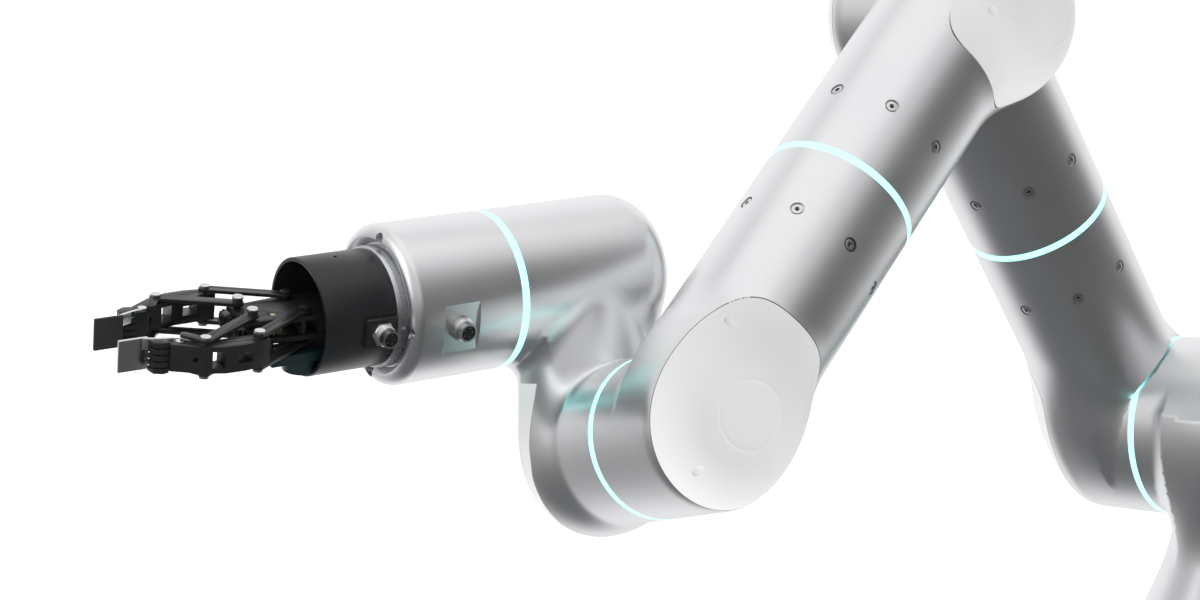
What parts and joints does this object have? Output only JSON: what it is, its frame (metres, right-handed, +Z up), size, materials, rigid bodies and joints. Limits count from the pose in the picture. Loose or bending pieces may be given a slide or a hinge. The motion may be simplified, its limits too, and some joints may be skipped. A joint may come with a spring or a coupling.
{
  "type": "collaborative robot arm",
  "caption": "Table-mounted jointed arm of cast round modules with glowing joint bands, a linkage gripper at its end and covers over every elbow.",
  "frame": {"origin": "centre of the mounting face under the base, on the first joint axis", "axes": "+Z up along the first joint axis; at rest the arm reaches towards -X, and +Y is the side of the second joint that the upper arm is on"},
  "size_m": [0.9223, 0.3169, 0.707],
  "materials": {
    "shell_silver": "satin metallic coating over cast aluminium",
    "cap_white": "matte moulded",
    "light_cyan": "translucent, lit from inside",
    "drive_steel": "machined, dark",
    "output_steel": "machined",
    "screw_steel": "bright",
    "flange_aluminium": "machined",
    "connector_nickel": "nickel plated",
    "panel_black": "matte moulded",
    "gripper_black": "black anodised, satin",
    "palm_grey": "dark anodised",
    "motor_teal": "matte moulded",
    "pinion_brass": "machined",
    "tip_bright": "machined",
    "tip_rubber": "matte"
  },
  "bodies": {
    "base": {"base_casting": "shell_silver", "base_plate": "drive_steel", "connector_panel": "panel_black", "base_connectors": "connector_nickel", "j1_light_ring": "light_cyan", "j1_drive": "drive_steel"},
    "shoulder": {"shoulder_shell": "shell_silver", "shoulder_cap": "cap_white", "j1_output": "output_steel", "j2_light_ring": "light_cyan", "j2_drive": "drive_steel"},
    "upper_arm_lower": {"upper_arm_lower_shell": "shell_silver", "upper_arm_lower_cap": "cap_white", "upper_arm_lower_screws": "screw_steel", "j2_output": "output_steel", "j3_light_ring": "light_cyan", "j3_drive": "drive_steel"},
    "upper_arm_upper": {"upper_arm_upper_shell": "shell_silver", "upper_arm_upper_cap": "cap_white", "upper_arm_upper_screws": "screw_steel", "j3_output": "output_steel", "j4_light_ring": "light_cyan", "j4_drive": "drive_steel"},
    "forearm_lower": {"forearm_lower_shell": "shell_silver", "forearm_lower_cap": "cap_white", "forearm_lower_screws": "screw_steel", "j4_output": "output_steel", "j5_light_ring": "light_cyan", "j5_drive": "drive_steel"},
    "forearm_upper": {"forearm_upper_shell": "shell_silver", "forearm_upper_cap": "cap_white", "forearm_upper_screws": "screw_steel", "j5_output": "output_steel", "j6_light_ring": "light_cyan", "j6_drive": "drive_steel"},
    "wrist": {"wrist_shell": "shell_silver", "wrist_cap": "cap_white", "j6_output": "output_steel", "j7_light_ring": "light_cyan", "j7_drive": "drive_steel"},
    "tool": {"tool_housing": "shell_silver", "tool_flange": "flange_aluminium", "tool_screws": "screw_steel", "tool_connector": "connector_nickel", "j7_output": "output_steel", "gripper_body": "gripper_black", "gripper_connector": "connector_nickel", "gripper_motor": "motor_teal", "gripper_palm": "palm_grey"},
    "gripper_pinion": {"gripper_pinion": "pinion_brass"},
    "near_driver": {"near_driver": "gripper_black"},
    "near_follower": {"near_follower": "gripper_black"},
    "near_finger": {"near_finger": "gripper_black", "near_fingertip": "tip_bright", "near_pins": "screw_steel"},
    "far_driver": {"far_driver": "gripper_black"},
    "far_follower": {"far_follower": "gripper_black"},
    "far_finger": {"far_finger": "gripper_black", "far_fingertip": "tip_rubber", "far_pins": "screw_steel"}
  },
  "joints": [
    {"name": "j1_base_turn", "type": "hinge", "parent": "base", "child": "shoulder", "pos_m": [0, 0, 0.155], "axis": [0, 0, 1], "range_deg": [-160, 160]},
    {"name": "j2_shoulder_pitch", "type": "hinge", "parent": "shoulder", "child": "upper_arm_lower", "pos_m": [0, 0.03, 0.365], "axis": [0, 1, 0], "range_deg": [-85, 120]},
    {"name": "j3_upper_arm_roll", "type": "hinge", "parent": "upper_arm_lower", "child": "upper_arm_upper", "pos_m": [-0.12775, 0.072, 0.52276], "axis": [-0.6293, 0, 0.7771], "range_deg": [-160, 160]},
    {"name": "j4_elbow_pitch", "type": "hinge", "parent": "upper_arm_upper", "child": "forearm_lower", "pos_m": [-0.26098, 0.042, 0.6555], "axis": [0, -1, 0], "range_deg": [-135, 30]},
    {"name": "j5_forearm_roll", "type": "hinge", "parent": "forearm_lower", "child": "forearm_upper", "pos_m": [-0.41159, 0.017, 0.53317], "axis": [-0.7071, 0, -0.7071], "range_deg": [-170, 155]},
    {"name": "j6_wrist_pitch", "type": "hinge", "parent": "forearm_upper", "child": "wrist", "pos_m": [-0.54087, 0.04199, 0.39375], "axis": [0.1949, 0.9613, -0.1949], "range_deg": [-200, 112]},
    {"name": "j7_tool_roll", "type": "hinge", "parent": "wrist", "child": "tool", "pos_m": [-0.5882, 0.14681, 0.47859], "axis": [-0.9786, 0.1772, -0.1048], "range_deg": [-170, 170]},
    {"name": "gripper_open", "type": "hinge", "parent": "tool", "child": "near_driver", "pos_m": [-0.74754, 0.16652, 0.45864], "axis": [-0.1548, -0.2978, 0.942], "range_deg": [-18, 14]},
    {"name": "near_follower_swing", "type": "hinge", "parent": "tool", "child": "near_follower", "pos_m": [-0.71656, 0.1585, 0.4612], "axis": [-0.1548, -0.2978, 0.942], "range_deg": [-18, 14]},
    {"name": "near_finger_level", "type": "hinge", "parent": "near_driver", "child": "near_finger", "pos_m": [-0.7902, 0.152, 0.44705], "axis": [-0.1548, -0.2978, 0.942], "range_deg": [-14, 18]},
    {"name": "far_driver_swing", "type": "hinge", "parent": "tool", "child": "far_driver", "pos_m": [-0.74496, 0.18434, 0.4647], "axis": [-0.1548, -0.2978, 0.942], "range_deg": [-14, 18]},
    {"name": "far_follower_swing", "type": "hinge", "parent": "tool", "child": "far_follower", "pos_m": [-0.7133, 0.18101, 0.46885], "axis": [-0.1548, -0.2978, 0.942], "range_deg": [-14, 18]},
    {"name": "far_finger_level", "type": "hinge", "parent": "far_driver", "child": "far_finger", "pos_m": [-0.78136, 0.21317, 0.46783], "axis": [-0.1548, -0.2978, 0.942], "range_deg": [-18, 14]},
    {"name": "pinion_spin", "type": "hinge", "parent": "tool", "child": "gripper_pinion", "pos_m": [-0.73322, 0.16635, 0.46094], "axis": [-0.1548, -0.2978, 0.942], "range_deg": [-27.1, 34.7]}
  ],
  "couplings": [
    {"joint": "near_follower_swing", "follows": "gripper_open", "ratio": 1},
    {"joint": "near_finger_level", "follows": "gripper_open", "ratio": -1},
    {"joint": "far_driver_swing", "follows": "gripper_open", "ratio": -1},
    {"joint": "far_follower_swing", "follows": "gripper_open", "ratio": -1},
    {"joint": "far_finger_level", "follows": "gripper_open", "ratio": 1},
    {"joint": "pinion_spin", "follows": "gripper_open", "ratio": -1.9}
  ]
}
